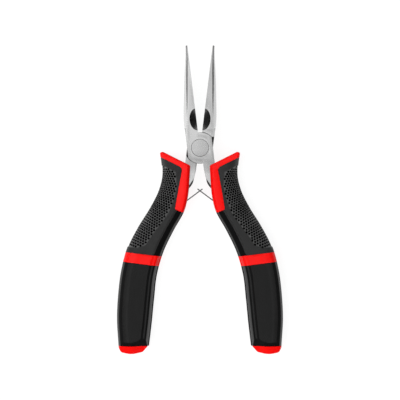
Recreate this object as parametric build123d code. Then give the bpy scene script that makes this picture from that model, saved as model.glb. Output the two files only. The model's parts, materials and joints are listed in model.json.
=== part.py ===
"""Spring-opening long-nose pliers with a side cutter, as a bench assembly of separate pieces.

The drawing frame is the closed tool: pivot axis on Z at the origin, jaws up +Y, handles down -Y.
The front lever carries the left jaw and the right handle.  The rear lever is the same forging
turned half a turn about Y, so it carries the right jaw and the left handle.  Each half is then
turned about the pivot to the angle at which the leaf springs hold the tool open, and the whole
tool is moved so that its origin is the centre of its footprint on the bench.
"""

import math
import os

from build123d import *

# ---------------------------------------------------------------- driving dimensions, mm, degrees
OPEN_HALF_ANGLE = 7.0  # each half stands this far from closed when the springs are relaxed

JAW_TIP_Y = 44.4  # pivot to jaw tip
JAW_FACE_X = 0.05  # each jaw face stops this far short of the closing plane
JOINT_HALF_WIDTH = 5.5
JOINT_HALF_THICKNESS = 4.0
JOINT_RADIUS = 6.7  # lap disc of one lever
SHOULDER_RADIUS = 6.85  # round shoulder of the other lever around that disc
SHOULDER_Y = 5.3  # flat under the jaw, outside the lap disc
LAP_CLEARANCE = 0.02  # each lap face stops this far from the mid plane

RIVET_HEAD_RADIUS = 3.75
RIVET_SHANK_RADIUS = 2.6
RIVET_HEAD_HEIGHT = 1.4
RIVET_CLEARANCE = 0.03  # running clearance between the rivet and the lever that turns on it
RIVET_EDGE = 0.12

CUTTER_CENTRE_Y = 12.3
CUTTER_HALF_LENGTH = 4.75  # half-moon relief of the side cutter on the jaw's flat
CUTTER_HALF_WIDTH = 3.05
CUTTER_EDGE_HALF_LENGTH = 3.3
CUTTER_EDGE_Z = 0.15

GRIP_HALF_THICKNESS = 6.0
GRIP_CHAMFER = 2.2
GRIP_TRIM = 0.3  # taken off front and back of the octagon bar to leave the flats
CORE_INSET = 1.8  # wall of the outer mouldings round the core
TANG_HALF_THICKNESS = 3.0  # the tang inside the handle
TANG_FULL_Y = -20.0  # above this the tang has the joint's full thickness
BAND_TOP_Y = -48.2
BAND_BOTTOM_Y = -52.4
EXPOSED_STRIP = 2.7  # width of the core left bare along the inner edge

LEAF_THICKNESS = 0.5
LEAF_HALF_WIDTH = 2.4
LEAF_BEND = (-3.90, -24.15)  # where the left leaf leaves its foot, drawing frame
LEAF_ANGLE = 43.8  # direction of the relaxed arm, from +X, drawing frame
LEAF_LENGTH = 9.85  # bend to tip
LEAF_ROOT_RADIUS = 0.45
FOOT_DIRECTION = (-0.25, -0.968)
FOOT_START = 0.62
FOOT_LENGTH = 7.5
SLOT_FROM, SLOT_TO = 7.3, 9.4  # slot in the left leaf, along the arm
SLOT_HALF_WIDTH = 1.35
TONGUE_FROM = 7.4  # where the right leaf narrows to a tongue
TONGUE_HALF_WIDTH = 1.1
HEAD_FROM, HEAD_HALF_WIDTH = 9.42, 2.0  # cross head that keeps the tongue in the slot
SPRING_RIVET_AT = 4.4  # along the foot
SPRING_RIVET_RADIUS = 0.8
SPRING_RIVET_HEAD_RADIUS = 1.3
SPRING_RIVET_HEAD_HEIGHT = 0.45
SPRING_RIVET_DEPTH = 3.2


def slab(face, half_thickness):
    """The plan face, extruded equally to both sides of the mid plane."""
    return extrude(face, half_thickness, both=True)


def plan(*edges):
    return make_face(Wire(edges))


def polygon(*points):
    return make_face(Polyline(*points, close=True))


# ---------------------------------------------------------------- the steel lever
# Stations along the jaw: height y, full width, width of the front flat, half thickness.
JAW_STATIONS = (
    (8.0, 5.55, 5.1, 4.0),
    (14.0, 5.45, 3.9, 3.85),
    (21.3, 4.45, 2.75, 3.15),
    (30.0, 3.15, 1.65, 2.3),
    (38.2, 1.75, 0.75, 1.45),
    (JAW_TIP_Y, 0.95, 0.38, 0.85),
)


def jaw_section(y, width, flat, half_thickness):
    """A half-round section: flat gripping face, flats front and back, round outside."""
    top = (-flat, y, half_thickness)
    bottom = (-flat, y, -half_thickness)
    face_top = (-JAW_FACE_X, y, half_thickness)
    face_bottom = (-JAW_FACE_X, y, -half_thickness)
    return plan(
        Line(face_bottom, face_top),
        Line(face_top, top),
        ThreePointArc(top, (-width, y, 0), bottom),
        Line(bottom, face_bottom),
    )


def jaw():
    blank = loft([jaw_section(*station) for station in JAW_STATIONS])
    return blank & Box(40, 100, 2 * JOINT_HALF_THICKNESS)


def cutter_relief(side):
    """The tapered half-moon pocket whose bevel ends at the cutting edge; side is +1 or -1."""
    wide = Plane.XY.offset(side * (JOINT_HALF_THICKNESS + 0.01)) * Pos(0, CUTTER_CENTRE_Y)
    narrow = Plane.XY.offset(side * CUTTER_EDGE_Z) * Pos(0, CUTTER_CENTRE_Y)
    return loft(
        [
            wide * Ellipse(CUTTER_HALF_WIDTH, CUTTER_HALF_LENGTH),
            narrow * Ellipse(0.12, CUTTER_EDGE_HALF_LENGTH),
        ]
    )


def tang_plan():
    """Plan of the tang below the joint, on the right of the drawing."""
    inner_top = (0.55, -5.0)
    outer_top = (JOINT_HALF_WIDTH, -3.0)
    bend = (-LEAF_BEND[0], LEAF_BEND[1])
    seat = (bend[0] + 0.2435, bend[1] + 0.063)
    seat_end = (seat[0] - 9.5 * FOOT_DIRECTION[0], seat[1] + 9.5 * FOOT_DIRECTION[1])
    return plan(
        Line(inner_top, (0.55, -9.6)),
        Line((0.55, -9.6), (1.15, -14.9)),
        ThreePointArc((1.15, -14.9), (1.75, -16.5), (2.95, -18.2)),
        Line((2.95, -18.2), seat),
        Line(seat, seat_end),
        Spline([seat_end, (13.2, -44.0), (16.9, -58.0), (17.3, -76.0)],
               tangents=[(-FOOT_DIRECTION[0], FOOT_DIRECTION[1]), (0, -1)]),
        ThreePointArc((17.3, -76.0), (19.2, -77.8), (21.1, -76.0)),
        Spline([(21.1, -76.0), (21.2, -60.0), (18.4, -44.0), (12.6, -31.0), (9.4, -21.0),
                (7.2, -12.0)], tangents=[(0, 1), (-0.2, 1)]),
        Line((7.2, -12.0), (JOINT_HALF_WIDTH, -7.2)),
        Line((JOINT_HALF_WIDTH, -7.2), outer_top),
        Line(outer_top, inner_top),
    )


def tang():
    """Full thickness where it shows, thinner inside the handle."""
    whole = slab(tang_plan(), JOINT_HALF_THICKNESS)
    below = Pos(12, TANG_FULL_Y - 40, 0) * Box(40, 80, 2 * TANG_HALF_THICKNESS)
    above = Pos(5, TANG_FULL_Y + 15, 0) * Box(30, 30, 3 * JOINT_HALF_THICKNESS)
    return whole & (below + above)


def front_lever():
    jaw_block = Pos(-(JOINT_HALF_WIDTH + JAW_FACE_X) / 2, 4.5, 0) * Box(
        JOINT_HALF_WIDTH - JAW_FACE_X, 9.0, 2 * JOINT_HALF_THICKNESS
    )
    disc = Pos(0, 0, JOINT_HALF_THICKNESS / 2) * Cylinder(JOINT_RADIUS, JOINT_HALF_THICKNESS)
    disc &= Box(2 * JOINT_HALF_WIDTH, 4 * JOINT_RADIUS, 4 * JOINT_HALF_THICKNESS)
    lever = jaw() + jaw_block + disc + tang()

    depth = JOINT_HALF_THICKNESS + 1
    lap_z = LAP_CLEARANCE - depth / 2
    lap = Pos(0, 0, lap_z) * Cylinder(SHOULDER_RADIUS, depth)
    corner = Pos(-JOINT_HALF_WIDTH, SHOULDER_Y / 2, lap_z) * Box(2.2, SHOULDER_Y, depth)
    lever -= lap + corner
    for side in (1, -1):
        lever -= cutter_relief(side)

    bore_radius = RIVET_SHANK_RADIUS + RIVET_CLEARANCE
    head_radius = RIVET_HEAD_RADIUS + RIVET_CLEARANCE
    lever -= Cylinder(bore_radius, 3 * JOINT_HALF_THICKNESS)
    seat_floor = JOINT_HALF_THICKNESS - RIVET_HEAD_HEIGHT - RIVET_CLEARANCE
    lever -= Pos(0, 0, seat_floor + 2) * Cylinder(head_radius, 4)
    return lever


def pivot_rivet():
    """Flush on both faces; it fills the rear lever's bore and runs clear in the front lever's."""
    head_z = JOINT_HALF_THICKNESS - RIVET_HEAD_HEIGHT / 2
    upper = Pos(0, 0, head_z) * Cylinder(RIVET_HEAD_RADIUS, RIVET_HEAD_HEIGHT)
    upper = chamfer(upper.faces().sort_by(Axis.Z)[-1].edges(), RIVET_EDGE)
    shank = Cylinder(RIVET_SHANK_RADIUS, 2 * JOINT_HALF_THICKNESS - 1)
    tight = RIVET_CLEARANCE
    seated_shank = Pos(0, 0, -1.5) * Cylinder(RIVET_SHANK_RADIUS + tight, 3 - 2 * LAP_CLEARANCE)
    lower_height = RIVET_HEAD_HEIGHT + tight
    lower = Pos(0, 0, -JOINT_HALF_THICKNESS + lower_height / 2) * Cylinder(
        RIVET_HEAD_RADIUS + tight, lower_height
    )
    lower = chamfer(lower.faces().sort_by(Axis.Z)[0].edges(), RIVET_EDGE)
    return upper + shank + seated_shank + lower


# ---------------------------------------------------------------- one handle, on the right
# Stations down the handle: y, inner edge x, outer edge x.
GRIP_STATIONS = (
    (-1.0, 3.9, 16.4),
    (-6.0, 3.5, 16.5),
    (-10.0, 3.15, 15.4),
    (-14.0, 2.75, 14.95),
    (-20.0, 2.55, 15.65),
    (-27.4, 3.3, 18.2),
    (-36.4, 6.85, 22.35),
    (-45.7, 10.0, 25.7),
    (-56.2, 11.7, 27.2),
    (-66.6, 11.65, 27.25),
    (-77.0, 11.4, 26.5),
    (-88.0, 11.4, 24.5),
    (-93.0, 11.5, 23.6),
)


def grip_section(y, inner, outer, inset):
    """Octagon across the handle, every side moved in by inset.

    It stands a little too tall, so that a flat cut gives true flats front and back.
    """
    h = GRIP_HALF_THICKNESS - inset + GRIP_TRIM
    side = GRIP_HALF_THICKNESS - GRIP_CHAMFER - 0.414 * inset
    chamfer_width = h - side
    inner += inset
    outer -= inset
    return make_face(
        Polyline(
            (inner, y, -side), (inner, y, side),
            (inner + chamfer_width, y, h), (outer - chamfer_width, y, h),
            (outer, y, side), (outer, y, -side),
            (outer - chamfer_width, y, -h), (inner + chamfer_width, y, -h),
            close=True,
        )
    )


def grip_bar(inset):
    bar = loft([grip_section(*station, inset) for station in GRIP_STATIONS])
    return bar & (Pos(15, -47, 0) * Box(60, 110, 2 * (GRIP_HALF_THICKNESS - inset)))


ENDS = ((3.3, -7.85), (15.2, -3.75), (16.3, -4.45), (17.5, -7.2), (29.0, -30.0), (29.0, -84.0),
        (24.6, -87.7), (22.6, -91.1), (18.3, -91.5), (13.7, -89.9), (11.0, -85.2), (0.0, -60.0),
        (0.0, -7.85))


def grip_body():
    """The whole handle: the bar, cut to the slanted guard on top and the blunt heel below."""
    return grip_bar(0) & slab(polygon(*ENDS), 20)


GUARD_ZONE = ((24, 2), (24, -3.6), (16.1, -6.2), (7.9, -8.95), (6.5, -10.5), (6.9, -17.4),
              (7.4, -27.6), (0, -28.4), (-2, 2))
CAP_ZONE = ((30, -89.6), (30, -96), (5, -96), (5, -86.1))


def band_zone():
    middle = (BAND_TOP_Y + BAND_BOTTOM_Y) / 2
    return Pos(18, middle) * Rectangle(40, BAND_TOP_Y - BAND_BOTTOM_Y)


def leaf_window():
    """Room for the leaf arm to swing out of the handle's inner edge."""
    bend = (-LEAF_BEND[0], LEAF_BEND[1])
    reach = 5.0
    rays = [
        (bend[0] - reach * math.cos(math.radians(a)), bend[1] + reach * math.sin(math.radians(a)))
        for a in (18, 50, 82)
    ]
    window = polygon(bend, *rays) + Pos(*bend) * Circle(0.9)
    return slab(window, LEAF_HALF_WIDTH + 0.3)


def exposed_strip():
    """The bare inner edge of the liner, between the inner trim and the band."""
    edge = [(inner + EXPOSED_STRIP, y) for y, inner, outer in GRIP_STATIONS if -46 < y < -15]
    zone = polygon((0, -20), *edge, (13.2, BAND_TOP_Y), (0, BAND_TOP_Y))
    return slab(zone - polygon(*GUARD_ZONE), 20)


def core(seats):
    """Hard liner on the tang, bare along the inner edge."""
    liner = grip_bar(CORE_INSET) & (Pos(15, -48.5, 0) * Box(60, 78.0, 20))
    strip = grip_body() & exposed_strip()
    solid = liner + strip
    for seat in seats:
        solid -= seat
    return solid


def handle(side_seats):
    """The mouldings of one handle, as a dictionary of name to solid."""
    liner = core(side_seats)
    skin = grip_body() - liner
    for seat in side_seats:
        skin -= seat
    guard_zone = slab(polygon(*GUARD_ZONE), 20)
    cap_zone = slab(polygon(*CAP_ZONE), 20)
    band = slab(band_zone(), 20)
    above = Pos(15, BAND_TOP_Y + 30, 0) * Box(60, 60, 40)
    below = Pos(15, BAND_BOTTOM_Y - 30, 0) * Box(60, 60, 40)
    return {
        "handle_core": liner,
        "thumb_guard": skin & guard_zone,
        "upper_grip": (skin & above) - guard_zone,
        "grip_band": skin & band,
        "lower_grip": (skin & below) - cap_zone,
        "end_cap": skin & cap_zone,
    }


# ---------------------------------------------------------------- leaf springs, drawn on the left
def along_arm(start, end, half_width):
    """A piece of leaf arm between two distances from the bend."""
    strip = Pos((start + end) / 2, 0, 0) * Box(end - start, LEAF_THICKNESS, 2 * half_width)
    return Pos(*LEAF_BEND) * Rot(0, 0, LEAF_ANGLE) * strip


def leaf_root():
    return Pos(*LEAF_BEND) * Cylinder(LEAF_ROOT_RADIUS, 2 * LEAF_HALF_WIDTH)


def slotted_arm():
    arm = leaf_root() + along_arm(0, LEAF_LENGTH, LEAF_HALF_WIDTH)
    return arm - along_arm(SLOT_FROM, SLOT_TO, SLOT_HALF_WIDTH)


def tongued_arm():
    arm = leaf_root() + along_arm(0, TONGUE_FROM, LEAF_HALF_WIDTH)
    arm += along_arm(TONGUE_FROM, LEAF_LENGTH, TONGUE_HALF_WIDTH)
    return arm + along_arm(HEAD_FROM, LEAF_LENGTH, HEAD_HALF_WIDTH)


FOOT_ANGLE = math.degrees(math.atan2(FOOT_DIRECTION[1], FOOT_DIRECTION[0]))


def on_foot(distance, lift):
    """Frame on the foot: X runs down the foot, Y away from the tang by lift."""
    return Pos(*LEAF_BEND) * Rot(0, 0, FOOT_ANGLE) * Pos(distance, lift, 0)


def leaf_foot():
    middle = (FOOT_START + FOOT_LENGTH) / 2
    foot = on_foot(middle, 0) * Box(FOOT_LENGTH - FOOT_START, LEAF_THICKNESS, 2 * LEAF_HALF_WIDTH)
    hole = on_foot(SPRING_RIVET_AT, 0) * Rot(90, 0, 0) * Cylinder(SPRING_RIVET_RADIUS, 4)
    return foot - hole


def spring_rivet():
    surface = LEAF_THICKNESS / 2
    shank_length = SPRING_RIVET_DEPTH + LEAF_THICKNESS
    shank = on_foot(SPRING_RIVET_AT, surface - shank_length / 2) * Rot(90, 0, 0) * Cylinder(
        SPRING_RIVET_RADIUS, shank_length
    )
    head = on_foot(SPRING_RIVET_AT, surface + SPRING_RIVET_HEAD_HEIGHT / 2) * Rot(90, 0, 0) * Cylinder(
        SPRING_RIVET_HEAD_RADIUS, SPRING_RIVET_HEAD_HEIGHT
    )
    return shank + head


# ---------------------------------------------------------------- assembly
TURN_OVER = Rot(0, 180, 0)


def build():
    """Every piece, in the drawing frame turned open, keyed by node name."""
    foot, rivet = leaf_foot(), spring_rivet()
    foot_right, rivet_right = TURN_OVER * foot, TURN_OVER * rivet
    root_room = Pos(-LEAF_BEND[0], LEAF_BEND[1]) * Cylinder(LEAF_ROOT_RADIUS + 0.15, 10)
    lever = front_lever() - rivet_right - root_room
    seats = [lever, foot_right, rivet_right, leaf_window()]
    mouldings = handle(seats)

    front_half = {"front_lever": lever}
    rear_half = {"rear_lever": TURN_OVER * lever, "pivot_rivet": pivot_rivet()}
    for name, solid in mouldings.items():
        front_half["right_" + name] = solid
        rear_half["left_" + name] = TURN_OVER * solid
    front_half["right_leaf_foot"] = foot_right
    front_half["right_leaf_arm"] = TURN_OVER * tongued_arm()
    front_half["right_spring_rivet"] = rivet_right
    rear_half["left_leaf_foot"] = foot
    rear_half["left_leaf_arm"] = slotted_arm()
    rear_half["left_spring_rivet"] = rivet

    opened = {name: Rot(0, 0, OPEN_HALF_ANGLE) * solid for name, solid in front_half.items()}
    opened |= {name: Rot(0, 0, -OPEN_HALF_ANGLE) * solid for name, solid in rear_half.items()}
    return opened


def main():
    pieces = build()
    box = Compound(list(pieces.values())).bounding_box()
    shift = Pos(-(box.min.X + box.max.X) / 2, -(box.min.Y + box.max.Y) / 2, -box.min.Z)
    os.makedirs("parts", exist_ok=True)
    for name, solid in pieces.items():
        export_step(shift * solid, f"parts/{name}.step")
    pivot = shift.position
    bend = Rot(0, 0, -OPEN_HALF_ANGLE) * Pos(*LEAF_BEND)
    left_bend = (shift * bend).position
    right_bend = (shift * TURN_OVER * bend).position
    print("size", [round(v, 4) for v in box.size])
    print("pivot", [round(v, 4) for v in pivot])
    print("left leaf bend", [round(v, 4) for v in left_bend])
    print("right leaf bend", [round(v, 4) for v in right_bend])


main()
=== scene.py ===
# %% [markdown]
# # Spring-opened long-nose pliers
# Two like forgings lap over each other and turn on a flush rivet.  Each carries a moulded handle
# of a red thumb guard, a dimpled soft sleeve, a red band, a glossy lower sleeve and a red cap.
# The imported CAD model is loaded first: it fixes where every body is and how it moves, and the
# pieces below are shaped round it.

# %% Load the frame
import json
import math

import bmesh
import bpy
import numpy as np
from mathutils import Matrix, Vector


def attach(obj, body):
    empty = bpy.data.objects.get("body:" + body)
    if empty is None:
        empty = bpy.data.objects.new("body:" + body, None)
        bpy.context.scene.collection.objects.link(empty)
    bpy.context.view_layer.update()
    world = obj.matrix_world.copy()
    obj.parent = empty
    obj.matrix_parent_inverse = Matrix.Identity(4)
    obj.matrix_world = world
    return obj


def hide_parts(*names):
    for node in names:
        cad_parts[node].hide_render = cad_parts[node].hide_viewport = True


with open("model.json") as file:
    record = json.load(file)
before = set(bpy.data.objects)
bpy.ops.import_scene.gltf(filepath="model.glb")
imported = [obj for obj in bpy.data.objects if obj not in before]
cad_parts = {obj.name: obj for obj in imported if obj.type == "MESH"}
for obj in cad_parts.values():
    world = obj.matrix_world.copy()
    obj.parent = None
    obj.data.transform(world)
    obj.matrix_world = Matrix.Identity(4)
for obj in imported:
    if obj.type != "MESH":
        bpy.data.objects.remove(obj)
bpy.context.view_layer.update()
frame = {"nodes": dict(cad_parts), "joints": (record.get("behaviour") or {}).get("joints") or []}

joints = {joint["name"]: joint for joint in frame["joints"]}
PIVOT = np.array(joints["pivot"]["pos_m"])
HALF_OPEN = 7.0  # degrees each half stands from closed
TURN_OVER = (-1, 1, -1)
MM = 0.001

# %% [markdown]
# ## One drawing, two handles
# The two halves of lap-joint pliers are the same shape turned over, so everything is drawn once,
# as the front half with the tool closed: pivot at the origin, jaws up +Y, right handle down -Y,
# millimetres.  A turn about Y makes the rear half.  A turn is safer than a mirror, because it
# never turns a mesh inside out.

# %% Drawing to tool
def turned(points, degrees):
    """Points turned about the Z axis."""
    angle = math.radians(degrees)
    cosine, sine = math.cos(angle), math.sin(angle)
    return points @ np.array([[cosine, sine, 0], [-sine, cosine, 0], [0, 0, 1]])


def to_tool(points, half):
    """Drawing millimetres of the front or rear half, as metres in the tool's own frame."""
    points = np.array(points, float)
    if half == "rear":
        return turned(points * TURN_OVER, -HALF_OPEN) * MM + PIVOT
    return turned(points, HALF_OPEN) * MM + PIVOT


def to_drawing(points, half, directions=False):
    """The same step backwards; directions are turned but not moved or scaled."""
    points = np.array(points, float)
    if not directions:
        points = (points - PIVOT) / MM
    if half == "rear":
        return turned(points, HALF_OPEN) * TURN_OVER
    return turned(points, -HALF_OPEN)


def new_object(name, points, faces, half):
    """A smooth mesh object from drawing points, already in its place."""
    mesh = bpy.data.meshes.new(name)
    mesh.from_pydata(to_tool(points, half).tolist(), [], faces)
    mesh.validate()
    mesh.shade_smooth()
    piece = bpy.data.objects.new(name, mesh)
    bpy.context.scene.collection.objects.link(piece)
    return piece


def plain_mesh(piece, sharp=None):
    """Bakes the piece's modifiers into a plain mesh and takes them off."""
    bpy.context.view_layer.update()
    graph = bpy.context.evaluated_depsgraph_get()
    mesh = bpy.data.meshes.new_from_object(piece.evaluated_get(graph))
    piece.modifiers.clear()
    old, piece.data = piece.data, mesh
    bpy.data.meshes.remove(old)
    if sharp is not None:
        mesh.shade_smooth()
        mesh.set_sharp_from_angle(angle=math.radians(sharp))
    mesh.name = piece.name
    return piece


def triangles(piece):
    piece.data.calc_loop_triangles()
    return len(piece.data.loop_triangles)


# %% [markdown]
# ## The handle's outline
# The two long edges of the handle are smooth curves through a few stations, the same as in the
# CAD.  Cross-sections are taken square to the middle line, so that whatever is laid on the
# surface, such as the dimples, is not sheared where the handle slants.

# %% Edges and middle line
EDGE_Y = np.array([
    3, -1, -6, -10, -14, -20, -27.4, -36.4, -45.7, -56.2, -66.6, -77, -88, -93, -97])
INNER_X = np.array([
    4.1, 3.7, 3.2, 3.0, 2.75, 2.55, 3.3, 6.85, 10, 11.7, 11.65, 11.4, 11.4, 11.5, 11.6])
OUTER_X = np.array([
    18.6, 17.8, 16.35, 15.4, 14.95, 15.65, 18.2, 22.35, 25.7, 27.2, 27.25, 26.48, 24.5, 23.6, 23])


def through(y, at, values):
    """Smooth curve through values given at falling heights (cubic Hermite, finite slopes)."""
    up, v = -at, values
    slopes = np.gradient(v, up)
    x = np.clip(-np.asarray(y, float), up[0], up[-1])
    i = np.clip(np.searchsorted(up, x) - 1, 0, len(up) - 2)
    step = up[i + 1] - up[i]
    t = (x - up[i]) / step
    return (
        v[i] * (1 + 2 * t) * (1 - t) ** 2 + v[i + 1] * t * t * (3 - 2 * t)
        + step * (slopes[i] * t * (1 - t) ** 2 - slopes[i + 1] * t * t * (1 - t))
    )


fine_y = np.linspace(EDGE_Y[0], EDGE_Y[-1], 1001)
inner_edge = np.column_stack([through(fine_y, EDGE_Y, INNER_X), fine_y])
outer_edge = np.column_stack([through(fine_y, EDGE_Y, OUTER_X), fine_y])
middle = (inner_edge + outer_edge) / 2
run = np.concatenate([[0], np.cumsum(np.linalg.norm(np.diff(middle, axis=0), axis=1))])


def crossing(edge, centre, along):
    """Where the line through centre square to along meets an edge."""
    ahead = (edge - centre) @ along
    order = np.argsort(ahead)
    return np.array([np.interp(0, ahead[order], edge[order, k]) for k in (0, 1)])


def stations(count):
    """Distance down the handle, with the inner and outer edge points of each square section."""
    at = np.linspace(0, run[-1], count)
    centres = np.column_stack([np.interp(at, run, middle[:, k]) for k in (0, 1)])
    rows = []
    for k, centre in enumerate(centres):
        ahead = centres[min(k + 2, count - 1)] - centres[max(k - 2, 0)]
        along = ahead / np.linalg.norm(ahead)
        edges = [crossing(edge, centre, along) for edge in (inner_edge, outer_edge)]
        rows.append((at[k], *edges))
    return rows


print("middle line mm", round(run[-1], 1))

# %% [markdown]
# ## Cross-sections
# Each moulding is a flat-sided bar with softened corners.  One side of a section is written as a
# few corners: how far in from the edge, and how high above the middle.  The corners are joined
# and each gets a small fillet, which leaves the facets between them flat, as a milled mould does.
# Only the bar that will be dimpled is sampled evenly round its section, because small even faces
# take the dimples cleanly.

# %% Sections, in millimetres from the edge
FLAT = 5.97  # height of the front flat above the middle
CLEAR = 0.01  # cutters reach this far past the flats
GUARD_INNER = [(0.0, 0.0), (0.03, 3.9), (0.1, 4.75), (0.5, 5.35), (0.95, 5.82), (1.25, FLAT)]
GUARD_OUTER = [(0.0, 0.0), (0.03, 3.0), (0.08, 4.6), (0.25, 5.3), (0.6, 5.75), (1.1, FLAT)]
STRIP_SIDE = [
    (0.0, 0.0), (0.02, 1.1), (0.42, 1.45), (0.5, 3.1),
    (1.05, 4.0), (2.2, 4.72), (3.3, 5.35), (3.7, 5.93),
]
LOWER_INNER = [
    (0.0, 0.0), (0.02, 1.1), (0.5, 1.5), (0.55, 3.0),
    (1.55, 5.08), (2.3, 5.5), (3.0, 5.58), (3.95, FLAT),
]
SLEEVE_OUTER = [
    (0.0, 0.0), (0.16, 1.2), (0.75, 2.8), (1.6, 4.2), (2.8, 5.2), (4.4, 5.8), (5.4, FLAT),
]
LOWER_OUTER = [
    (0.0, 0.0), (0.03, 1.2), (0.08, 2.8), (1.0, 4.55), (2.3, 5.58), (4.1, 5.9), (4.8, FLAT),
]
SETTLE_FROM, SETTLE_TO = 42.0, 50.0  # where the sleeve's round side becomes the band's facets


def smooth_step(value, start, end):
    t = np.clip((value - start) / (end - start), 0.0, 1.0)
    return t * t * (3 - 2 * t)


def between(first, second, share):
    return [tuple(np.array(a) * (1 - share) + np.array(b) * share) for a, b in zip(first, second)]


def guard_shape(at):
    return GUARD_INNER, GUARD_OUTER


def sleeve_shape(at):
    """The dimpled side is full and round, and draws in to the band's facets."""
    return STRIP_SIDE, between(SLEEVE_OUTER, LOWER_OUTER, smooth_step(at, SETTLE_FROM, SETTLE_TO))


def lower_shape(at):
    return LOWER_INNER, LOWER_OUTER


# %% [markdown]
# The dimpled field lies a little below the smooth rubber round it.  Its border is drawn in plan,
# and every point of the bar inside the border is moved in along its own normal.

# %% The dimpled field
FIELD = np.array([
    (9.0, -11.6), (7.75, -17.5), (8.3, -23.6), (10.1, -29.9), (12.95, -35.0), (15.8, -39.7),
    (17.9, -44.2), (21.6, -45.9), (31.0, -45.7), (31.0, -9.2), (15.0, -9.5),
])
FIELD_DEPTH = 0.3
FIELD_RIM = (-0.15, 0.25)  # where the step down starts and ends, from outside the border


def inside_by(points, polygon):
    """How far plan points are inside a polygon, in millimetres; negative outside."""
    start, end = polygon, np.roll(polygon, -1, axis=0)
    nearest = np.full(len(points), 1e9)
    crossings = np.zeros(len(points), int)
    for a, b in zip(start, end):
        along = b - a
        t = np.clip(((points - a) @ along) / (along @ along), 0, 1)
        nearest = np.minimum(nearest, np.linalg.norm(points - a - t[:, None] * along, axis=1))
        spans = (a[1] > points[:, 1]) != (b[1] > points[:, 1])
        x = a[0] + (points[:, 1] - a[1]) * along[0] / (along[1] if along[1] else 1e-9)
        crossings += spans & (points[:, 0] < x)
    return np.where(crossings % 2 == 1, nearest, -nearest)


# %% [markdown]
# ## Blanks
# A blank is one long closed bar with a section at every station.  Each corner of its faces also
# gets two marks that make a flat map of the skin: distance down the handle, and distance round
# the section from the middle of its outer side.

# %% Rounded outlines
def rounded(corners, radius=0.8, steps=6):
    """A polygon with its corners rounded; a corner may give its own radius as a third number."""
    out = []
    count = len(corners)
    for k in range(count):
        here = np.array(corners[k][:2], float)
        r = corners[k][2] if len(corners[k]) > 2 else radius
        before = np.array(corners[k - 1][:2], float) - here
        after = np.array(corners[(k + 1) % count][:2], float) - here
        reach = min(r, 0.45 * np.linalg.norm(before), 0.45 * np.linalg.norm(after))
        a = here + before / np.linalg.norm(before) * reach
        b = here + after / np.linalg.norm(after) * reach
        for t in np.linspace(0, 1, steps):
            out.append((1 - t) ** 2 * a + 2 * t * (1 - t) * here + t * t * b)
    return np.array(out)


# %% A blank of any section
EVEN = 180  # points round a bar that will be dimpled
MAP_LENGTH, MAP_GIRTH = 120.0, 80.0  # the map's size in millimetres
OFF_THE_MAP = (-50.0, -500.0)  # the end faces' marks, where no dimple looks
FILLET_POINTS = 4


def ring(inner, outer, sides, softness, even):
    """Points round one section as (across, height), with their outward normals and run."""
    width = np.linalg.norm(outer - inner)
    top = list(sides[0]) + [(width - d, z) for d, z in reversed(sides[1])]
    loop = rounded(top + [(d, -z) for d, z in reversed(top) if z > 0], softness, FILLET_POINTS)
    middle = FILLET_POINTS // 2  # the run starts at the middle of the inner edge's fillet
    loop = np.roll(loop, -middle, axis=0)
    closed = np.vstack([loop, loop[:1]])
    lengths = np.concatenate([[0], np.cumsum(np.linalg.norm(np.diff(closed, axis=0), axis=1))])
    run_at = lengths
    if even:
        run_at = np.linspace(0, lengths[-1], EVEN + 1)
        loop = np.column_stack([np.interp(run_at[:-1], lengths, closed[:, k]) for k in (0, 1)])
    tangent = np.roll(loop, -1, axis=0) - np.roll(loop, 1, axis=0)
    normal = np.column_stack([-tangent[:, 1], tangent[:, 0]])
    normal /= np.linalg.norm(normal, axis=1, keepdims=True)
    return loop, normal, run_at


def blank(shape, rows=300, softness=0.12, field=False):
    """A closed bar as (points, faces, map, field share); shape(distance) gives both sides."""
    points, flat_map, share = [], [], []
    for at, inner, outer in stations(rows):
        across = (outer - inner) / np.linalg.norm(outer - inner)
        section, normal, run_at = ring(inner, outer, shape(at), softness, field)
        n = len(section)
        plan = inner + section[:, :1] * across
        depth = smooth_step(inside_by(plan, FIELD), *FIELD_RIM) if field else np.zeros(n)
        section = section - normal * (depth * FIELD_DEPTH)[:, None]
        plan = inner + section[:, :1] * across
        points.append(np.column_stack([plan, section[:, 1]]))
        share.append(depth)
        flat_map.append(np.column_stack([np.full(n + 1, at), run_at - run_at[-1] / 2]))
    faces, corners = [], []
    for r in range(rows - 1):
        for c in range(n):
            d = (c + 1) % n
            faces.append((r * n + c, (r + 1) * n + c, (r + 1) * n + d, r * n + d))
            corners += [flat_map[r][c], flat_map[r + 1][c]]
            corners += [flat_map[r + 1][c + 1], flat_map[r][c + 1]]
    last = (rows - 1) * n
    faces += [tuple(range(n)), tuple(range(last + n - 1, last - 1, -1))]
    corners += [OFF_THE_MAP] * (2 * n)
    return np.vstack(points), faces, np.array(corners), np.concatenate(share)


guard_bar = blank(guard_shape, rows=200, softness=0.3)
strip_bar = blank(sleeve_shape)
sleeve_bar = blank(sleeve_shape, rows=420, softness=0.5, field=True)
lower_bar = blank(lower_shape)
print("bar points", [len(bar[0]) for bar in (guard_bar, strip_bar, sleeve_bar, lower_bar)])

# %% [markdown]
# ## Cutting the blanks
# The colour borders of a two-shot moulding run straight through its thickness, so each piece is a
# blank kept inside one outline.  The outline is drawn in plan, its corners rounded, and raised
# into a pillow whose rims are rounded too.  An exact solid intersection then leaves a closed
# piece with soft edges, and a fine groove shows where two pieces meet.

# %% Pillows and intersections
def turn_left(outline):
    """The outline, running anticlockwise."""
    x, y = outline[:, 0], outline[:, 1]
    return outline if np.sum(x * np.roll(y, -1) - y * np.roll(x, -1)) > 0 else outline[::-1]


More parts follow.
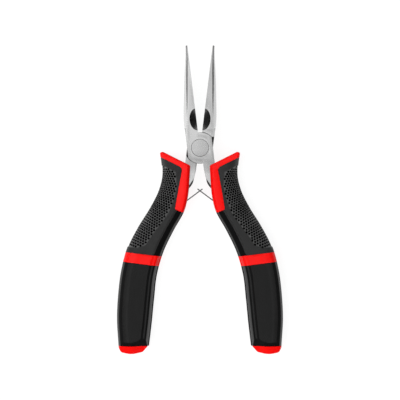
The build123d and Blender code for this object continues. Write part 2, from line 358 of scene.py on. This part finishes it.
def drawn_in(outline, depth):
    """An anticlockwise outline moved in by depth."""
    ahead = np.roll(outline, -1, axis=0) - outline
    ahead /= np.linalg.norm(ahead, axis=1, keepdims=True)
    inward = np.column_stack([-ahead[:, 1], ahead[:, 0]])
    mean = inward + np.roll(inward, 1, axis=0)
    mean /= np.linalg.norm(mean, axis=1, keepdims=True)
    share = np.clip((mean * inward).sum(axis=1, keepdims=True), 0.5, 1.0)
    return outline + mean * depth / share


def pillow(outline, half, rim=0.0, drop=None, top=FLAT + CLEAR, steps=5):
    """A closed upright block; its front and back rims are rounded in by rim over a height drop."""
    outline = turn_left(np.array(outline, float))
    drop = rim if drop is None else drop
    turns = np.linspace(0, math.pi / 2, steps) if rim else [0.0]
    layers = [(top - drop + drop * math.sin(t), rim * (1 - math.cos(t))) for t in turns]
    layers = [(-z, depth) for z, depth in reversed(layers)] + layers
    n = len(outline)
    points = np.vstack([np.column_stack([drawn_in(outline, d), np.full(n, z)]) for z, d in layers])
    faces = [
        (r * n + k, r * n + (k + 1) % n, (r + 1) * n + (k + 1) % n, (r + 1) * n + k)
        for r in range(len(layers) - 1) for k in range(n)
    ]
    faces += [tuple(range(n - 1, -1, -1)), tuple(range((len(layers) - 1) * n, len(layers) * n))]
    return new_object("pillow", points, faces, half)


def cut(piece, tool, operation="INTERSECT"):
    """Keeps (INTERSECT) or takes away (DIFFERENCE) the tool's space, then drops the tool."""
    step = piece.modifiers.new("cut", "BOOLEAN")
    step.operation, step.object, step.solver = operation, tool, "MANIFOLD"
    plain_mesh(piece)
    bpy.data.objects.remove(tool)
    return piece


# %% [markdown]
# ## Colour borders
# All in drawing millimetres.  The guard is an L: an arm across the top that stops the thumb, and
# a leg down the inner edge.  The bare strip of the hard liner follows the inner edge below it.

# %% Outlines of the pieces
SEAM = -0.01  # neighbours overlap a hair, so that no light comes up between them
TIP_CENTRE, TIP_RADIUS = np.array((15.55, -4.97)), 1.24
TIP_TURN = (109, -71)  # degrees; the guard's arm ends in this half circle
tip = [tuple(TIP_CENTRE + TIP_RADIUS * np.array((math.cos(a), math.sin(a)))) + (0.05,)
       for a in np.radians(np.linspace(*TIP_TURN, 10))]
GUARD = rounded([
    (2.2, -10.6, 0.1), (3.02, -10.2, 0.2), (3.07, -8.1, 1.3), *tip, (7.4, -9.12, 0.9),
    (6.45, -10.1, 0.9), (6.88, -17.4, 4.0), (7.4, -27.2, 0.7),
    (6.9, -27.6, 0.4), (4.2, -28.35, 0.5), (2.0, -28.5, 0.4),
])
ARM_ROOM = rounded([(-4.0, -10.5, 0.1), (16.3, -3.32, 1.2), (17.15, -5.6, 0.9), (16.9, -8.0, 0.3),
                    (22.0, -40.0, 0.1), (-8.0, -40.0, 0.1)])
UPPER = rounded([
    (20.0, -4.74 - SEAM, 0.1), (7.4 + SEAM, -9.12 - SEAM, 0.9),
    (6.45 + SEAM, -10.1, 0.9), (6.88 + SEAM, -17.4, 4.0), (7.4 + SEAM, -27.2, 0.7),
    (6.9, -27.6 - SEAM, 0.4), (5.2, -28.1 - SEAM, 0.1), (5.2, -28.5, 0.1), (14.0, -48.15, 0.1),
    (30.0, -48.15, 0.1), (30.0, -5.0, 0.1),
])
BAND = rounded([(5.0, -48.2), (30.0, -48.2), (30.0, -52.35), (5.0, -52.55)], 0.1)
LOWER = rounded([(5.0, -52.6), (30.0, -52.4), (30.0, -89.05), (5.0, -86.15)], 0.1)
CAP = rounded([
    (8.0, -86.53, 0.1), (25.0, -88.52, 0.1), (24.5, -88.6, 0.2), (22.95, -91.1, 0.8),
    (18.4, -91.5, 3.0), (13.75, -89.9, 0.8), (11.4, -86.3, 0.3),
])
STRIP_WIDTH = 3.3
strip_edge = [(float(through(y, EDGE_Y, INNER_X)) + STRIP_WIDTH, y)
              for y in np.arange(-29.0, -48.0, -1.0)]
STRIP = np.array([
    (0.0, -28.42), (4.2, -28.38), (6.3, -27.85), *strip_edge, (14.1, -48.15), (0.0, -48.15),
])
print("outline corners", len(GUARD), len(UPPER), len(STRIP), len(CAP))

# %% [markdown]
# ## Shader sums
# Materials are node trees.  Their sums are written as plain Python: a socket is wrapped, and
# adding or multiplying wrapped sockets adds the Math nodes.

# %% A wrapped socket and a tree builder
class Wire:
    """An output socket that can be used in sums."""

    def __init__(self, nodes, socket):
        self.nodes, self.socket = nodes, socket

    def math(self, operation, *values, clamp=False):
        settings = {"operation": operation, "use_clamp": clamp}
        return self.nodes.node("ShaderNodeMath", settings, (self, *values))

    def __add__(self, other):
        return self.math("ADD", other)

    def __sub__(self, other):
        return self.math("SUBTRACT", other)

    def __rsub__(self, other):
        return (self * -1.0) + other

    def __mul__(self, other):
        return self.math("MULTIPLY", other)

    def __truediv__(self, other):
        return self.math("DIVIDE", other)

    __radd__, __rmul__ = __add__, __mul__

    def above(self, edge, soft):
        """0 below edge - soft, 1 above edge + soft."""
        return self.math("MULTIPLY_ADD", 0.5 / soft, 0.5 - 0.5 * edge / soft, clamp=True)

    def size(self):
        return self.math("ABSOLUTE")


class Nodes:
    """Adds nodes to a tree; every node that the script makes comes through here."""

    def __init__(self, tree):
        self.tree = tree

    def node(self, kind, settings=None, inputs=(), output=0):
        made = self.tree.nodes.new(kind)
        for key, value in (settings or {}).items():
            if key == "stops":
                while len(made.color_ramp.elements) < len(value):
                    made.color_ramp.elements.new(1.0)
                for stop, (at, level) in zip(made.color_ramp.elements, value):
                    stop.position, stop.color = at, grey(level)
            else:
                setattr(made, key, value)
        pairs = inputs.items() if isinstance(inputs, dict) else enumerate(inputs)
        for key, value in pairs:
            self.join(made.inputs[key], value)
        return Wire(self, made.outputs[output]) if made.outputs else None

    def join(self, socket, value):
        if isinstance(value, Wire):
            self.tree.links.new(value.socket, socket)
        else:
            socket.default_value = value


def grey(level):
    return (level, level, level, 1.0)


class Paint(Nodes):
    """Builds one material."""

    def __init__(self, name):
        self.material = bpy.data.materials.new(name)
        self.material.use_nodes = True
        super().__init__(self.material.node_tree)
        self.shader = self.tree.nodes["Principled BSDF"]

    def place(self):
        """Object coordinates."""
        return self.node("ShaderNodeTexCoord", output=3)

    def parts(self, vector):
        made = self.node("ShaderNodeSeparateXYZ", inputs=(vector,))
        return [Wire(self, made.socket.node.outputs[k]) for k in range(3)]

    def mark(self, name):
        """A number stored on the mesh."""
        return self.node("ShaderNodeAttribute", {"attribute_name": name}, output=2)

    def noise(self, scale, detail=3.0, stretch=(1, 1, 1), rough=0.55):
        where = self.node("ShaderNodeMapping", inputs={"Vector": self.place(), "Scale": stretch})
        return self.node("ShaderNodeTexNoise", inputs={
            "Vector": where, "Scale": scale, "Detail": detail, "Roughness": rough})

    def blend(self, share, first, second):
        """A colour between two colours."""
        made = self.node("ShaderNodeMix", {"data_type": "RGBA"}).socket.node
        for index, value in ((0, share), (6, first), (7, second)):
            self.join(made.inputs[index], value)
        return Wire(self, made.outputs[2])

    def bump(self, height, strength, distance):
        return self.node("ShaderNodeBump", inputs={
            "Height": height, "Strength": strength, "Distance": distance})

    def under(self, share, **sockets):
        """A second surface, shown where share is 1."""
        second = self.node("ShaderNodeBsdfPrincipled", inputs={
            key.replace("_", " "): value for key, value in sockets.items()})
        first = Wire(self, self.shader.outputs[0])
        both = self.node("ShaderNodeMixShader", inputs=(share, first, second))
        self.join(self.tree.nodes["Material Output"].inputs["Surface"], both)

    def finish(self, **sockets):
        for key, value in sockets.items():
            self.join(self.shader.inputs[key.replace("_", " ")], value)
        return self.material


# %% [markdown]
# ## Finishes
# Red is a satin polypropylene; the soft sleeve is a matt thermoplastic rubber with a very fine
# sparkle, and its dimples are painted near black as painted shade; the lower sleeve is the same
# compound out of a polished mould.  The ridges between the dimples are painted pale as a painted
# highlight, most of all on the round outer side.  Each finish gets a faint moulding unevenness,
# so that reflections are not ruler straight.

# %% Plastics and rubber
# painted highlight on the ridges between the dimples on the round side
SIDE_RIDGE_HIGHLIGHT = grey(0.11)
SIDE_HEIGHT, SIDE_SOFT = 0.0047, 0.0009  # metres above the middle, where the side meets the flat


def plastic(name, colour, worn, roughness, grain, shine, bump=0.08, ridge_highlight=None, pit_shade=None):
    """A moulded finish; a dimpled one also gets painted highlight on its ridges and painted shade
    in its pits.
    """
    paint = Paint(name)
    cloud = paint.noise(180.0, 4.0)
    fine = paint.noise(grain, 2.0)
    tint = paint.blend(cloud.above(0.5, 0.22), colour, worn)
    rough = roughness + (cloud - 0.5) * 0.12
    if pit_shade:
        # painted highlight: the ridges between the dimples are painted paler, and paler still on
        # the round side, where the light falls
        height = (paint.parts(paint.place())[2] - float(PIVOT[2])).size()
        painted_ridge_light = paint.blend(height.above(SIDE_HEIGHT, SIDE_SOFT), SIDE_RIDGE_HIGHLIGHT, ridge_highlight)
        tint = paint.blend(paint.mark("field"), tint, painted_ridge_light)
        # painted shade: the pits' faces are painted near black, as the shade down in the dimples
        paint.under(paint.mark("pit"), Base_Color=pit_shade, Roughness=0.9, Specular_IOR_Level=0.04)
    return paint.finish(
        Base_Color=tint, Roughness=rough, Specular_IOR_Level=shine,
        Normal=paint.bump(fine, bump, 0.0001),
    )


red_plastic = plastic(
    "red_plastic", (0.8, 0.002, 0.001, 1), (0.76, 0.0015, 0.0008, 1),
    roughness=0.38, grain=4200.0, shine=0.12)
# painted light on the soft rubber: its ridge colour is a painted highlight and its pit colour is
# painted shade
soft_rubber = plastic(
    "soft_rubber", grey(0.017), grey(0.014),
    roughness=0.6, grain=5200.0, shine=0.35, bump=0.2, ridge_highlight=grey(0.055), pit_shade=grey(0.0005))
gloss_rubber = plastic(
    "gloss_rubber", grey(0.005), grey(0.003),
    roughness=0.16, grain=2600.0, shine=0.24, bump=0.03)
liner_black = plastic(
    "liner_black", grey(0.003), grey(0.002),
    roughness=0.14, grain=2600.0, shine=0.25, bump=0.02)
print("finishes", [m.name for m in (red_plastic, soft_rubber, gloss_rubber, liner_black)])

# %% [markdown]
# The forging is ground bright on its front and back faces and along the jaws, and keeps its black
# scale on the sides of the tang, in the cutter's hollows and on the lap faces.  A number stored
# on each face says which it is.  Grinding lines run across the jaws.  The bright steel is a
# little darker in soft clouds of its own uneven tone, and it is painted darker below the rivet
# and on the right-hand side, as painted shade.

# %% Steel
SCALE_BLACK = grey(0.008)
TANG_CORNER = (0.00327, 0.00744)  # a point of the tang's lower inner edge, in metres
TANG_ACROSS = (0.827, 0.563)  # the way in from that edge
TANG_SCALE = 0.00042  # how far in the scale reaches, in metres
THROAT_TOP, THROAT_END = float(PIVOT[1]) - 0.0035, 0.0125  # Y of the part painted darker below the rivet, as painted shade, in metres
DARKER_SHARE = 0.68  # how bright the darker steel is, as a share of the bright one
METAL = 0.92  # metallic share of ground steel


def tang_line(x, y):
    """Distance in from the lower inner edge of either tang, where the scale is left on."""
    return (x.size() - TANG_CORNER[0]) * TANG_ACROSS[0] + (y - TANG_CORNER[1]) * TANG_ACROSS[1]


def steel(name, bright, scaled=False, roughness=0.15):
    """Ground steel; a scaled one is black where the faces' mark says it isn't ground."""
    paint = Paint(name)
    x, y = paint.parts(paint.place())[:2]
    cloud = paint.noise(90.0, 5.0)
    speck = paint.noise(1500.0, 2.0)
    lines = paint.noise(900.0, 3.0, stretch=(0.06, 1.0, 1.0))
    # painted shade: the steel is painted darker below the rivet and on the right-hand side; the
    # clouds and specks are the steel's own uneven tone
    shade_below_rivet = (THROAT_TOP - y).above(0.0, 0.0022) * (y - THROAT_END).above(0.0, 0.0015)
    tone_and_shade = cloud * 0.5 + speck * 0.1 + shade_below_rivet * 0.75 + x.above(0.001, 0.003) * 0.55
    metal = paint.blend(tone_and_shade.above(0.7, 0.5), grey(bright), grey(bright * DARKER_SHARE))
    rough = roughness + (lines - 0.5) * 0.04
    metallic = METAL
    if scaled:
        ground = paint.mark("ground") * tang_line(x, y).above(TANG_SCALE, 0.0001)
        metal = paint.blend(ground, SCALE_BLACK, metal)
        rough = rough + (1 - ground) * 0.2
        metallic = ground * METAL
    return paint.finish(
        Base_Color=metal, Roughness=rough, Metallic=metallic,
        Normal=paint.bump(lines, 0.01, 0.00003),
    )


ground_steel = steel("ground_steel", 0.69, scaled=True)
rivet_steel = steel("rivet_steel", 0.73)
spring_steel = steel("spring_steel", 0.2, roughness=0.36)

# %% [markdown]
# ## Levers
# The forgings are already the right shape in the CAD.  What they lack is the fine broken edge
# that every ground tool has, which catches a line of light.  So each is replaced by a copy whose
# loose triangles are merged into whole faces and whose sharp edges get a narrow bevel.

# %% Merge, bevel and mark the forgings
EDGE_BREAK = 0.17 * MM
SAME_POINT = 0.002 * MM
SAME_FACE, BEVEL_FROM, CREASE_FROM = 0.6, 34, 30  # degrees between faces
CUTTER_Y, CUTTER_LONG, CUTTER_WIDE = 12.3, 4.75, 3.05  # the hollow at the outer face
EDGE_LONG, EDGE_WIDE, EDGE_HEIGHT = 3.3, 0.12, 0.15  # the hollow at the cutting edge
FACE_HEIGHT, HOLLOW_DEPTH, MARGIN = 3.9, 3.86, 0.1
JAW_FROM, CHEEK_X = 8.0, -4.9  # where the jaw begins, and the outer side above the rivet


def is_ground(at, normal):
    """Which faces of the forging are ground bright, in the drawing frame."""
    x, y, z = at.T
    rise = np.clip((np.abs(z) - EDGE_HEIGHT) / HOLLOW_DEPTH, 0, 1)
    wide = EDGE_WIDE + (CUTTER_WIDE - EDGE_WIDE) * rise
    long = EDGE_LONG + (CUTTER_LONG - EDGE_LONG) * rise
    in_hollow = (x / (wide + MARGIN)) ** 2 + ((y - CUTTER_Y) / (long + MARGIN)) ** 2 < 1
    flat = (np.abs(normal[:, 2]) > 0.93) & (np.abs(z) > FACE_HEIGHT)
    jaw = (y > JAW_FROM) & ~in_hollow
    cheek = (y > 0) & (x < CHEEK_X) & (np.abs(normal[:, 1]) < 0.5)
    return flat | jaw | cheek


def forging(node, half, body):
    mesh = frame["nodes"][node].data.copy()
    mesh.name = f"{node}_ground"
    work = bmesh.new()
    work.from_mesh(mesh)
    bmesh.ops.remove_doubles(work, verts=work.verts, dist=SAME_POINT)
    bmesh.ops.dissolve_limit(
        work, angle_limit=math.radians(SAME_FACE), verts=work.verts, edges=work.edges)
    work.to_mesh(mesh)
    work.free()
    piece = bpy.data.objects.new(mesh.name, mesh)
    bpy.context.scene.collection.objects.link(piece)
    bevel = piece.modifiers.new("edge", "BEVEL")
    bevel.width, bevel.segments, bevel.limit_method = EDGE_BREAK, 2, "ANGLE"
    bevel.angle_limit = math.radians(BEVEL_FROM)
    plain_mesh(piece, sharp=CREASE_FROM)
    mesh = piece.data
    centres = to_drawing([p.center for p in mesh.polygons], half)
    normals = to_drawing([p.normal for p in mesh.polygons], half, directions=True)
    ground = is_ground(centres, normals)
    mark = mesh.attributes.new("ground", "FLOAT", "FACE")
    mark.data.foreach_set("value", ground.astype(np.float32))
    mesh.materials.clear()
    mesh.materials.append(ground_steel)
    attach(piece, body)
    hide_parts(node)
    print(piece.name, triangles(piece), "faces ground", int(ground.sum()))


forging("front_lever", "front", "front_half")
forging("rear_lever", "rear", "rear_half")

# %% [markdown]
# The rivets and the leaf springs are small and plain, and their CAD shape is right.  They keep
# their own meshes and only get a finish.

# %% Finish the nodes that stay
def paint_node(node, material):
    slots = frame["nodes"][node].data.materials
    slots.clear()
    slots.append(material)
    print(node, "is finished in", material.name)


paint_node("pivot_rivet", rivet_steel)
for side in ("left", "right"):
    paint_node(f"{side}_leaf_arm", spring_steel)
    paint_node(f"{side}_leaf_foot", spring_steel)
    paint_node(f"{side}_spring_rivet", rivet_steel)

# %% [markdown]
# ## Dimples
# The sleeve's grip is a field of small round pits in staggered rows.  Geometry Nodes lay a grid
# of points on the flat map of the skin, look up where each point is on the bar and which way
# the skin faces there, set a small ball, drawn out along its upright, on every point inside the
# field, and take all the balls away from the bar.  The faces a ball leaves carry a mark, which
# the rubber reads.

# %% The dimple tree
PITCH = 1.2
ROW_GAP = PITCH * math.sqrt(3) / 2
ROWS, COLUMNS = 40, 30
BALL_SEGMENTS, BALL_RINGS = 9, 6
WELL_INSIDE = 0.97  # a dimple needs this much of the field under its middle
DIMPLE_SIZES = {
    "Pitch": PITCH, "Row Gap": ROW_GAP, "First Row": 10.5,
    "Radius": 0.5, "Depth": 0.9, "Lift": 0.12,
}


def dimple_tree():
    """Takes a bar with a flat map and a field mark, and gives it back with dimples."""
    group = bpy.data.node_groups.new("dimples", "GeometryNodeTree")
    face = group.interface
    face.new_socket("Geometry", in_out="OUTPUT", socket_type="NodeSocketGeometry")
    face.new_socket("Geometry", in_out="INPUT", socket_type="NodeSocketGeometry")
    for name in DIMPLE_SIZES:
        face.new_socket(name, in_out="INPUT", socket_type="NodeSocketFloat")
    face.new_socket("Rows", in_out="INPUT", socket_type="NodeSocketInt")
    face.new_socket("Columns", in_out="INPUT", socket_type="NodeSocketInt")
    face.new_socket("Material", in_out="INPUT", socket_type="NodeSocketMaterial")
    build = Nodes(group)
    entry = build.node("NodeGroupInput").socket.node
    given = {socket.name: Wire(build, socket) for socket in entry.outputs if socket.name}
    bar = given["Geometry"]

    def named(name, kind):
        return build.node("GeometryNodeInputNamedAttribute", {"data_type": kind}, {"Name": name})

    def keep(geometry, name, kind, value):
        return build.node("GeometryNodeStoreNamedAttribute", {"data_type": kind}, {
            "Geometry": geometry, "Name": name, "Value": value})

    across = given["Pitch"] * (given["Columns"] - 1)
    down = given["Row Gap"] * (given["Rows"] - 1)
    grid = build.node("GeometryNodeMeshGrid", inputs={
        "Size X": down, "Size Y": across,
        "Vertices X": given["Rows"], "Vertices Y": given["Columns"]})
    split = build.node("ShaderNodeSeparateXYZ", inputs=(build.node("GeometryNodeInputPosition"),))
    x, y = split, Wire(build, split.socket.node.outputs[1])
    row = ((x + down * 0.5) / given["Row Gap"]).math("ROUND")
    shift = row.math("MODULO", 2.0) * given["Pitch"] * 0.5
    u = (x + down * 0.5 + given["First Row"]) / MAP_LENGTH
    v = (y + shift) / MAP_GIRTH + 0.5
    spot = build.node("ShaderNodeCombineXYZ", inputs=(u, v))

    def look_up(kind, value):
        return build.node("GeometryNodeSampleUVSurface", {"data_type": kind}, {
            "Mesh": bar, "Value": value,
            "Source UV Map": named("map", "FLOAT_VECTOR"), "Sample UV": spot})

    points = grid
    for name, kind, value in (
        ("place", "FLOAT_VECTOR", build.node("GeometryNodeInputPosition")),
        ("up", "FLOAT_VECTOR", build.node("GeometryNodeInputNormal")),
        ("inside", "FLOAT", named("field", "FLOAT")),
    ):
        points = keep(points, name, kind, look_up(kind, value))
    up = named("up", "FLOAT_VECTOR")
    raised = build.node("ShaderNodeVectorMath", {"operation": "SCALE"}, {
        "Vector": up, "Scale": given["Lift"] * MM})
    place = build.node(
        "ShaderNodeVectorMath", {"operation": "ADD"}, (named("place", "FLOAT_VECTOR"), raised))
    points = build.node("GeometryNodeSetPosition", inputs={"Geometry": points, "Position": place})
    ball = build.node("GeometryNodeMeshUVSphere", inputs={
        "Segments": BALL_SEGMENTS, "Rings": BALL_RINGS, "Radius": MM})
    ball = build.node("GeometryNodeStoreNamedAttribute", {"data_type": "FLOAT", "domain": "FACE"}, {
        "Geometry": ball, "Name": "pit", "Value": 1.0})
    turn = build.node("FunctionNodeAlignRotationToVector", {"axis": "Z"}, {"Vector": up})
    size = build.node(
        "ShaderNodeCombineXYZ", inputs=(given["Radius"], given["Radius"], given["Depth"]))
    balls = build.node("GeometryNodeInstanceOnPoints", inputs={
        "Points": points,
        "Selection": named("inside", "FLOAT").math("GREATER_THAN", WELL_INSIDE),
        "Instance": ball, "Rotation": turn, "Scale": size})
    solid_balls = build.node("GeometryNodeRealizeInstances", inputs=(balls,))
    pitted = build.node(
        "GeometryNodeMeshBoolean", {"operation": "DIFFERENCE", "solver": "MANIFOLD"},
        {"Mesh 1": bar, "Mesh 2": solid_balls})
    whole = build.node("GeometryNodeRealizeInstances", inputs=(pitted,))
    done = build.node(
        "GeometryNodeSetMaterial", inputs={"Geometry": whole, "Material": given["Material"]})
    build.node("NodeGroupOutput", inputs=(done,))
    return group


DIMPLES = dimple_tree()
print("dimple tree nodes", len(DIMPLES.nodes))


# %% Pit a sleeve blank
def pitted_blank(name, half):
    points, faces, corners, share = sleeve_bar
    piece = new_object(name, points, faces, half)
    mesh = piece.data
    flat = corners / (MAP_LENGTH, MAP_GIRTH) + (0.0, 0.5)
    mesh.uv_layers.new(name="map").data.foreach_set("uv", flat.astype(np.float32).ravel())
    field = mesh.attributes.new("field", "FLOAT", "POINT")
    field.data.foreach_set("value", share.astype(np.float32))
    step = piece.modifiers.new("dimples", "NODES")
    step.node_group = DIMPLES
    sizes = dict(DIMPLE_SIZES, Rows=ROWS, Columns=COLUMNS, Material=soft_rubber)
    for socket in DIMPLES.interface.items_tree:
        if socket.in_out == "INPUT" and socket.name in sizes:
            step[socket.identifier] = sizes[socket.name]
    plain_mesh(piece)
    piece.data.attributes.remove(piece.data.attributes["map"])
    return piece


# %% [markdown]
# ## Moulded handles
# The guard's free edge is rounded much more than its colour borders.  The heel of the handle
# slopes away towards the cap below an arched line, front and back, so the same wedge is taken
# off the lower sleeve and the cap.  A window in the guard lets the leaf spring swing out.

# %% Special cutters
HEEL_LINE = [(5.0, -79.0), (9.5, -81.3), (12.4, -82.6), (14.4, -83.4), (16.0, -84.8), (17.4, -85.9),
             (19.2, -86.5), (21.2, -86.3), (23.7, -85.3), (27.0, -83.4), (31.0, -81.0)]
HEEL_TILT = math.tan(math.radians(30))
HEEL_RUN, HEEL_OVER = 9.0, 9.0  # how far the wedge reaches down the heel, and how high it ends
HEEL_POINTS, HEEL_BLUR = 61, 11
LEAF_BEND = np.array((3.9, -24.15))
WINDOW_RAYS, WINDOW_REACH, WINDOW_HALF = (18, 50, 82), 5.0, 2.7
BEND_ROOM = 0.9


def heel_wedge(half, side):
    """The space above the sloping heel; side is +1 for the front, -1 for the back."""
    line = np.array(HEEL_LINE)
    marks = np.arange(len(line))
    at = np.linspace(0, marks[-1], HEEL_POINTS)
    weights = np.hanning(HEEL_BLUR)[1:-1]
    weights = weights / weights.sum()
    spare = len(weights) // 2
    near = np.column_stack([
        np.convolve(np.pad(np.interp(at, marks, values), spare, "edge"), weights, "valid")
        for values in line.T
    ])
    far = near + (0.5, -HEEL_RUN)
    n = len(near)
    start = FLAT + 2 * CLEAR
    points = np.vstack([
        np.column_stack([plan, np.full(n, height)]) for plan, height in (
            (near, start), (far, start - HEEL_RUN * HEEL_TILT), (far, HEEL_OVER), (near, HEEL_OVER))
    ])
    faces = [
        (r * n + k, r * n + k + 1, (r + 1) % 4 * n + k + 1, (r + 1) % 4 * n + k)
        for r in range(4) for k in range(n - 1)
    ]
    faces += [tuple(r * n for r in range(4)), tuple(r * n + n - 1 for r in range(3, -1, -1))]
    if side < 0:
        points = points * (1, 1, -1)
        faces = [tuple(reversed(face)) for face in faces]
    return new_object("wedge", points, faces, half)


def leaf_window(half):
    """The fan-shaped room in which the leaf's arm swings, with a little more round its bend."""
    rays = [LEAF_BEND + WINDOW_REACH * np.array((-math.cos(a), math.sin(a)))
            for a in np.radians(WINDOW_RAYS)]
    middle_ray = math.radians(WINDOW_RAYS[1])
    back = LEAF_BEND + BEND_ROOM * np.array((math.cos(middle_ray), -math.sin(middle_ray)))
    side = BEND_ROOM * np.array((math.sin(middle_ray), math.cos(middle_ray)))
    outline = [
        back + side * 0.7, LEAF_BEND + side, *rays[::-1], LEAF_BEND - side, back - side * 0.7,
    ]
    return pillow(outline, half, top=WINDOW_HALF)


def moulding(name, half, bar, outline, rim=0.1, drop=None):
    """A blank kept inside an outline."""
    piece = new_object(name, bar[0], bar[1], half)
    return cut(piece, pillow(outline, half, rim, drop))


# %% Build both handles
HANDLES = {"rear": ("left", "rear_half"), "front": ("right", "front_half")}
BORDER_RIM, ARM_RIM, CAP_RIM, CAP_DROP = 0.12, 0.7, 0.9, 2.6
HANDLE_CREASE = 35  # degrees; a sharper edge than this isn't shaded smooth
for half, (side, body) in HANDLES.items():
    guard = moulding(f"{side}_guard", half, guard_bar, GUARD, BORDER_RIM)
    cut(guard, pillow(ARM_ROOM, half, ARM_RIM))
    cut(guard, leaf_window(half), "DIFFERENCE")
    sleeve = cut(pitted_blank(f"{side}_sleeve", half), pillow(UPPER, half, BORDER_RIM))
    cut(sleeve, pillow(STRIP, half), "DIFFERENCE")
    strip = moulding(f"{side}_strip", half, strip_bar, STRIP)
    band = moulding(f"{side}_band", half, lower_bar, BAND)
    lower = moulding(f"{side}_lower", half, lower_bar, LOWER)
    cap = moulding(f"{side}_cap", half, lower_bar, CAP, CAP_RIM, CAP_DROP)
    for piece in (lower, cap):
        for face in (1, -1):
            cut(piece, heel_wedge(half, face), "DIFFERENCE")
    for piece, material, node, slot in (
        (guard, red_plastic, "thumb_guard", "guard"),
        (sleeve, soft_rubber, "upper_grip", "soft_grip"),
        (strip, liner_black, "handle_core", "liner"),
        (band, red_plastic, "grip_band", "band"),
        (lower, gloss_rubber, "lower_grip", "lower_grip"),
        (cap, red_plastic, "end_cap", "cap"),
    ):
        piece.data.materials.clear()
        piece.data.materials.append(material)
        piece.data.shade_smooth()
        piece.data.set_sharp_from_angle(angle=math.radians(HANDLE_CREASE))
        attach(piece, body)
        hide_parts(f"{side}_{node}")
        print(piece.name, triangles(piece))

# %% [markdown]
# ## Stage, light and camera
# The tool lies on a pale light table, which glows, so its shadow stays faint.  Two long soft
# boxes stand one each side, and a wide one hangs over the handles.  They light the tool but are
# kept out of its reflections, which the room below makes.  The camera looks straight down.

# %% Floor
REACH, BELOW = 3.0, -0.0002
floor_mesh = bpy.data.meshes.new("floor")
floor_mesh.from_pydata(
    [(x * REACH, y * REACH, BELOW) for x, y in ((-1, -1), (1, -1), (1, 1), (-1, 1))],
    [], [(0, 1, 2, 3)],
)
floor = bpy.data.objects.new("floor", floor_mesh)
bpy.context.scene.collection.objects.link(floor)
paper = Paint("paper")
floor_mesh.materials.append(paper.finish(
    Base_Color=grey(0.15), Roughness=0.9, Emission_Color=grey(1.0), Emission_Strength=0.88))

# %% Lights
def soft_box(name, place, size, power):
    """A soft box turned to the tool; place and size in metres, power in watts."""
    light = bpy.data.lights.new(name, "AREA")
    light.shape, light.size, light.size_y, light.energy = "RECTANGLE", size[0], size[1], power
    lamp = bpy.data.objects.new(name, light)
    lamp.location = place
    lamp.rotation_euler = (-Vector(place)).to_track_quat("-Z", "Y").to_euler()
    lamp.visible_glossy = False
    bpy.context.scene.collection.objects.link(lamp)


soft_box("left_box", (-0.3, 0.05, 0.34), (0.2, 0.6), 1.2)
soft_box("right_box", (0.55, 0.05, 0.62), (0.35, 0.9), 0.5)
soft_box("fill", (-0.15, -0.4, 0.95), (1.1, 1.1), 8.8)

# %% [markdown]
# The room is what the steel and the gloss mirror: a pale ceiling with a brighter ring round it,
# dark walls, and a white floor line.  Facets then fall into clear steps of light and dark.  The
# camera itself sees plain pale grey.

# %% Room light
world = bpy.data.worlds.new("studio")
world.use_nodes = True
room = Nodes(world.node_tree)
way = room.node("ShaderNodeSeparateXYZ", inputs=(room.node("ShaderNodeTexCoord"),))
east, up = way, Wire(room, way.socket.node.outputs[2])
ROOM = (
    (0.0, 0.9), (0.04, 0.5), (0.12, 0.18), (0.78, 0.13),
    (0.88, 0.42), (0.935, 1.0), (0.965, 1.0), (1.0, 0.7),
)
EAST_DIMMING = 0.25  # the room is this much darker to the right, and brighter to the left
BACKDROP = 0.95
level = room.node("ShaderNodeValToRGB", {"stops": ROOM}, (up,))
level = level * (1.0 - east * EAST_DIMMING)
seen = room.node("ShaderNodeLightPath")
level = level * (1 - seen) + seen * BACKDROP
room.join(world.node_tree.nodes["Background"].inputs["Color"], level)
bpy.context.scene.world = world
bpy.context.scene.view_settings.view_transform = "Standard"

# %% Camera
camera_data = bpy.data.cameras.new("camera")
camera = bpy.data.objects.new("camera", camera_data)
bpy.context.scene.collection.objects.link(camera)
DISTANCE = 0.8  # above the tool's middle plane
VIEW_WIDTH = 0.172  # what the view takes in, at the middle plane
SENSOR = 36.0
camera_data.sensor_width = SENSOR
camera_data.lens = SENSOR * DISTANCE / VIEW_WIDTH
camera.location = (0.0, -0.0001, DISTANCE + 0.006)
bpy.context.scene.camera = camera
print("camera lens", round(camera_data.lens, 1))
